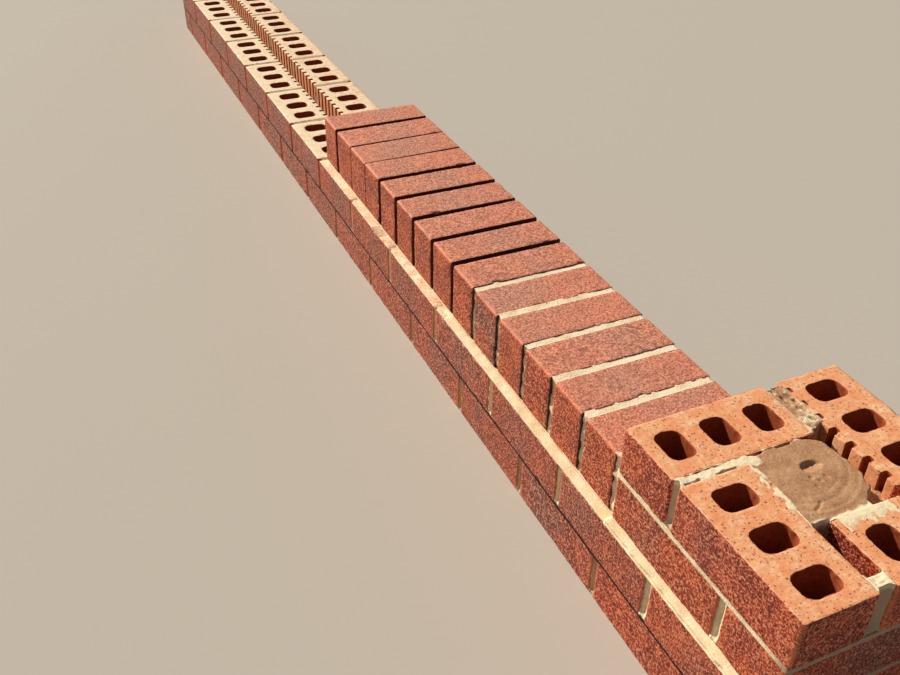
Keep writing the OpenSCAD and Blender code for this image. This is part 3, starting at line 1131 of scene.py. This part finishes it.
class GARDEN_WALL_OT_coping_mortar(bpy.types.Operator):
    """Fills the near coping joints, and leaves mortar under the coping and on the ledge"""

    bl_idname = "garden_wall.coping_mortar"
    bl_label = "Coping mortar"

    def execute(self, context):
        coping = [np.array(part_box(name)) for name in COPING]
        top = max(high[2] for _, high in coping)
        filled = [(low, high, top) for low, high in solids("coping_joints")]
        # One more joint holds mortar than in the frame, a little lower than the rest
        low, high = (corner.copy() for corner in filled[0][:2])
        before, after = [box for box in coping if box[1][0] < low[0] + MM][-2:]
        low[0], high[0] = before[1][0], after[0][0]
        filled.append((low, high, top - 1.2 * MM))
        lay = Lay()
        for i, (low, high, level) in enumerate(filled):
            near = [box for box in coping if box[0][0] < high[0] + MM and box[1][0] > low[0] - MM]
            # Full on top, but 2 to 5 mm back from the street face
            start = max(box[0][1] for box in near) + (2.5 if len(near) > 1 else 1) * MM
            lap = 0.8 * MM
            ends = (low[0] - lap, start, low[2]), (high[0] + lap, high[1], level)
            points, faces = sandy_block(*ends, (2, 3.5, 5), 200 + i, lump=1.1 * MM)
            front = np.clip(1 - (points[:, 1] - start) / (12 * MM), 0, 1)
            points[:, 1] += front * 2.5 * MM * (0.5 + rough(points, 9 * MM, 240 + i))
            lay.add(points, faces, dust=0.4)
        lay.piece("coping_joints", "mortar", dry_mortar())
        for number, node in enumerate(("coping_bed_front", "coping_bed_back")):
            lay = Lay()
            for i, box in enumerate(solids(node)):
                seed = 220 + 20 * number + i
                lay.add(*sandy_block(*box, (6, 12, 2), seed, lump=0, sand=0.3 * MM))
            lay.piece(node, "mortar", dry_mortar())
        node = "ledge_mortar"
        low, high = np.array(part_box(node))
        points, faces = sandy_block(low, high, (3, 2, 2), 270, lump=1.2 * MM)
        # The near half is newer and still pale
        old = ease(0.7 + 0.03 * rough(points, 20 * MM, 276) - points[:, 0], 0, 0.05)
        stain_and_shade = old * np.clip(0.45 + 0.3 * rough(points, 50 * MM, 275), 0, 1)
        points = fillet(points, low, 14 * MM, 1.6 * MM, 271)
        lay_whole(node, "mortar", dry_mortar(), points, faces, dust=0.2, flash=stain_and_shade)
        return {"FINISHED"}


class GARDEN_WALL_OT_pier_mortar(bpy.types.Operator):
    """Fills the joints and beds of the pier's covered courses"""

    bl_idname = "garden_wall.pier_mortar"
    bl_label = "Pier mortar"

    def execute(self, context):
        smear = settings().mortar.smear
        for course in (1, 2, 3):
            node, bricks = f"pier_mortar_{course}", f"pier_course_{course}"
            sides, boxes = open_sides(bricks, ALL_ROUND), solids(bricks)
            if course == 2:
                # The street leaf's last brick runs into this course
                sides, boxes = sides[1:], boxes + solids("upper_course_front_coped")[-1:]
            low, high = opened(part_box(node), sides)
            laps = [[smear] * 4] * len(boxes)
            points, faces = block_between(low, high, boxes, laps, 3.3 * MM, 4)
            points = sandy(points, faces, 260 + course)
            points = struck(points, sides, boxes, 265 + course, PIER_FLUSH)
            # Stain and painted shade on the pier's end
            lay_whole(node, "mortar", dry_mortar(), points, faces, flash=end_stain_and_shade(points))
        for bed in (2, 3):
            node = f"pier_bed_{bed}"
            sides = open_sides(f"pier_course_{bed}", ALL_ROUND)
            low, high = opened(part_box(node), sides)
            ends = low - BED_LAP, high + BED_LAP
            points, faces = sandy_block(*ends, (4.5, 3.5, 2), 280 + bed, lump=0.5 * MM)
            points = struck(points, sides, [(low, high)], 285 + bed)
            if bed == 2:
                points = fillet(points, low, 12 * MM, 2.4 * MM, 288)
            # Stain and painted shade on the pier's end
            stain_and_shade = end_stain_and_shade(points)
            lay_whole(node, "mortar", dry_mortar(), points, faces, dust=0.2, flash=stain_and_shade)
        return {"FINISHED"}


# How far the core's mortar runs over the pier's top bricks, in the order of PIER_TOP and in
# millimetres: low x, low y, high x, high y
CORE_LAPS = ((0, 0, 5, 12), (5, 0, 0, 12), (24, 1, 0, 0), (0, 7, 1, 0))
# The core is drawn in millimetres from the corner between the left and front bricks.
# Its trowelled zone: the middle, the reach, and how square it is left and right of the middle
ZONE_MIDDLE, ZONE_REACH, ZONE_POWERS = (60, 45), (60, 69), (5, 3)
# Its deepest point, which is still above the bed of the course
CORE_DEPTH = 50
# Marks left in the mortar: a line's two ends, its half width and its depth
CORE_MARKS = (
    ((60, 52), (61, 54), 2.4, 2.2),
    ((68, 59), (70, 61), 2.2, 2),
    ((74, 50), (76, 51), 2, 1.8),
    ((64, 71), (67, 73), 2.4, 2),
    ((96, 35), (101, 29), 1.9, 1.8),
    ((101, 29), (105, 21), 1.9, 1.8),
    ((1, 101), (6, 112), 3, 14),
    ((-50, 108), (-27, 117), 1.6, 5),
    ((-27, 117), (-10, 119), 2, 9),
    ((0.5, 8), (0.5, 28), 1.8, 5),
    ((1, 50), (1, 70), 1.7, 4),
    ((33, 0), (45, 0), 2.2, 12),
    ((50, 0), (63, 0), 2.2, 12),
    ((66, 0), (76, 0), 2.2, 12),
    ((12.5, -92), (12.5, -70), 1.9, 7),
    ((12.5, -45), (12.5, -18), 1.9, 7),
)
# Holes in the loose mortar between the left and back bricks
REAR_HOLES = (
    ((-90, 117), (-85, 118), 2.4, 7),
    ((-63, 133), (-60, 137), 3.2, 12),
    ((-74, 121), (-70, 122), 2, 5),
    ((-48, 126), (-44, 127), 1.8, 5),
    ((-26, 129), (-21, 131), 2.6, 10),
    ((-17, 118), (-12, 119), 3, 12),
)


def trough(at, start, end, wide, deep):
    """Depth of a rounded trough along a line, for each place, all in millimetres."""
    start, end = np.array(start, float), np.array(end, float)
    way = end - start
    share = np.clip(((at - start) @ way) / max(way @ way, 1e-9), 0, 1)
    off = np.linalg.norm(at - start - share[:, None] * way, axis=1)
    return deep * np.clip(1 - (off / wide) ** 2, 0, 1)


def core_level(at, over, seed):
    """Level of the core's mortar against the brick tops, and how pale it has dried.

    Over is how far inside a brick's plan each place lies."""
    u, v = at[:, 0], at[:, 1]
    fine, coarse = rough_flat(at, 3.2, seed), rough_flat(at, 9, seed + 1)
    # The zone is smooth, with a dish pressed in it and the trowel's arcs on its right
    sweep = np.linalg.norm(at - (30, 45), axis=1)
    arcs = rough_flat(np.column_stack([sweep, sweep * 0]), 4, seed + 2)
    slow = rough_flat(at, 24, seed + 3)
    level = -0.7 + 0.25 * slow + 0.45 * arcs * ease(sweep, 48, 62) + 0.12 * fine
    dish = np.hypot((u - 45.5) / 10, (v - 66) / 15)
    level -= 7 * np.sqrt(np.clip(1 - dish**2, 0, 1)) * np.clip(0.55 - (u - 45.5) / 16, 0, 1)
    pale = 0.2 * coarse
    crumbs = -1 + 1.2 * coarse + 0.8 * fine

    def turn_to(share, new_level, new_pale):
        nonlocal level, pale
        level = level * (1 - share) + new_level * share
        pale = pale * (1 - share) + new_pale * share

    # Cream left beside the left and front bricks
    turn_to(ease(15 + 4 * coarse - np.hypot(u - 7, v - 5), 0, 6), crumbs * 0.5, 1)
    turn_to(ease(5 + 3 * coarse - v, 0, 4) * ease(97 - u, 0, 6), crumbs * 0.5, 1)
    # Past the zone: a trench to the back brick, and crumbs beside the right one
    power = np.where(u < ZONE_MIDDLE[0], *ZONE_POWERS)
    reach = (np.abs((at - ZONE_MIDDLE) / ZONE_REACH) ** power[:, None]).sum(1) ** (1 / power)
    far = ease(v, 86, 98)
    outside = ease(reach + 0.03 * coarse, 0.99, 1.05) * ease(v, 0, 6)
    turn_to(outside, crumbs * (1 - far) + (-30 + 3 * coarse + 1.5 * fine) * far, 1 - far)
    # The four joints between the bricks
    turn_to(ease(-v, -1, 1.5) * ease(16 - u, 0, 4), -0.5 + 0.8 * coarse + 0.5 * fine, 0.95)
    rubble = -1.1 + 1.3 * coarse + 0.9 * fine
    for hole in REAR_HOLES:
        rubble -= trough(at + 1.2 * coarse[:, None], *hole)
    turn_to(ease(-u, -14, -3) * ease(v, 109, 113), rubble, 0.3 + 0.5 * coarse)
    # A dark crack where that mortar ends, short of the core
    crack = ease(u + 14 - 0.4 * (135 - v) + 1.5 * coarse, 0, 4) * ease(v, 111, 114)
    turn_to(crack * ease(24 - u, 0, 6), -34 + 4 * coarse + 2 * fine, -0.2)
    outer = ease(u, 196, 204)
    gap = (-38 + 6 * coarse + 2 * fine) * (1 - outer) + crumbs * outer
    turn_to(ease(u, 121, 126) * ease(27 - v, 0, 2), gap, outer)
    for line in CORE_MARKS:
        level -= trough(at + 0.9 * coarse[:, None], *line)
    # A film runs on over the bricks, further in some places
    right = (u > 124) & (v > 33) & (v + 3 * coarse < 110)
    ends = [u < 0, (v < 0) & (u < 20), (v < 0) & (u + 2 * coarse < 95), right]
    rear = (u < -14) & (v > 130)
    film_reach = np.select([rear, *ends], [5, np.where(v > 95, 7, 3.5), 3.5, 8.5, 22], 1.5)
    film = -0.35 + 0.45 * rough_flat(at, 6, seed + 4) - 0.9 * (over / film_reach) ** 2 + 0.25 * right
    # None reached the back brick past the trench, or the gap between the front and right bricks
    bare = ((u > -14) & (v > 130)) | ((u > 0) & (v > 112)) | ((u > 126) & (u < 198) & (v < 33))
    level = np.where((over > 0) & ~bare, film, np.where(over > 0, np.minimum(level, -20), level))
    dull = 0.5 * ((u < 0) & (v > 95))
    pale = np.where(over > 0, 0.95 - dull + 0.2 * coarse, pale) * ease(level, -12, -4)
    return np.clip(level, -CORE_DEPTH, 0), np.clip(pale, 0, 1.3)


class GARDEN_WALL_OT_pier_core(bpy.types.Operator):
    """Fills the pier's top joints and trowels its core"""

    bl_idname = "garden_wall.pier_core"
    bl_label = "Pier core"

    def execute(self, context):
        node = "pier_core"
        boxes = [np.array(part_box(f"pier_top_{place}")) for place in PIER_TOP]
        left, front, _, back = boxes
        sides = [(0, left[0][0], 1), (0, front[1][0], -1), (1, front[0][1], 1), (1, back[1][1], -1)]
        low, high = opened(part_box(node), sides)
        high[2] = front[1][2]
        points, faces = block_between(low, high, boxes, np.array(CORE_LAPS) * MM, 1.7 * MM, 5)
        at = (points[:, :2] - (left[1][0], front[1][1])) / MM
        level, pale = core_level(at, brick_over(points, boxes) / MM, 290)
        share = (points[:, 2] - low[2]) / (high[2] - low[2])
        points[:, 2] = low[2] + share * (high[2] - low[2] + level * MM)
        points = struck(points, sides, boxes, 294, 3.5 * MM)
        grit = 0.25 * MM * (1 + rough(points, 2.4 * MM, 298))
        points -= point_normals(points, faces) * grit[:, None]
        points = np.clip(points, *CAD_BOX)
        # Painted shade: below the top, the core's mortar on the street side and the pier's end is
        # darkened with the stain colour
        street = 0.6 * ease(low[1] + 12 * MM - points[:, 1], 0, 6 * MM)
        stain_and_shade = np.maximum(end_stain_and_shade(points), street) * ease(high[2] - points[:, 2], 4 * MM, 8 * MM)
        lay_whole(node, "core_mortar", fresh_mortar(), points, faces, dust=pale, flash=stain_and_shade)
        return {"FINISHED"}


STEPS = (
    GARDEN_WALL_OT_stage,
    GARDEN_WALL_OT_lower_courses,
    GARDEN_WALL_OT_covered_course,
    GARDEN_WALL_OT_open_course,
    GARDEN_WALL_OT_coping,
    GARDEN_WALL_OT_pier_courses,
    GARDEN_WALL_OT_pier_top,
    GARDEN_WALL_OT_upright_joints,
    GARDEN_WALL_OT_damp_beds,
    GARDEN_WALL_OT_coping_mortar,
    GARDEN_WALL_OT_pier_mortar,
    GARDEN_WALL_OT_pier_core,
)


class GARDEN_WALL_PT_panel(bpy.types.Panel):
    """Lists the steps of the wall and its settings"""

    bl_label = "Garden wall"
    bl_idname = "GARDEN_WALL_PT_panel"
    bl_space_type = "VIEW_3D"
    bl_region_type = "UI"
    bl_category = "Garden wall"

    def draw(self, context):
        for step in STEPS:
            self.layout.operator(step.bl_idname)
        wall = settings()
        for group in (wall.brick, wall.mortar, wall.colour, wall.camera):
            for name in type(group).__annotations__:
                self.layout.prop(group, name)


CLASSES = (
    BrickSettings, MortarSettings, ColourSettings, CameraSettings, WallSettings,
    *STEPS, GARDEN_WALL_PT_panel,
)


def register():
    for item in CLASSES:
        bpy.utils.register_class(item)
    bpy.types.Scene.garden_wall = PointerProperty(type=WallSettings)


def unregister():
    del bpy.types.Scene.garden_wall
    for item in reversed(CLASSES):
        bpy.utils.unregister_class(item)


def main():
    """Lays the whole wall."""
    register()
    for step in STEPS:
        family, name = step.bl_idname.split(".")
        getattr(getattr(bpy.ops, family), name)()


if __name__ == "__main__":
    main()
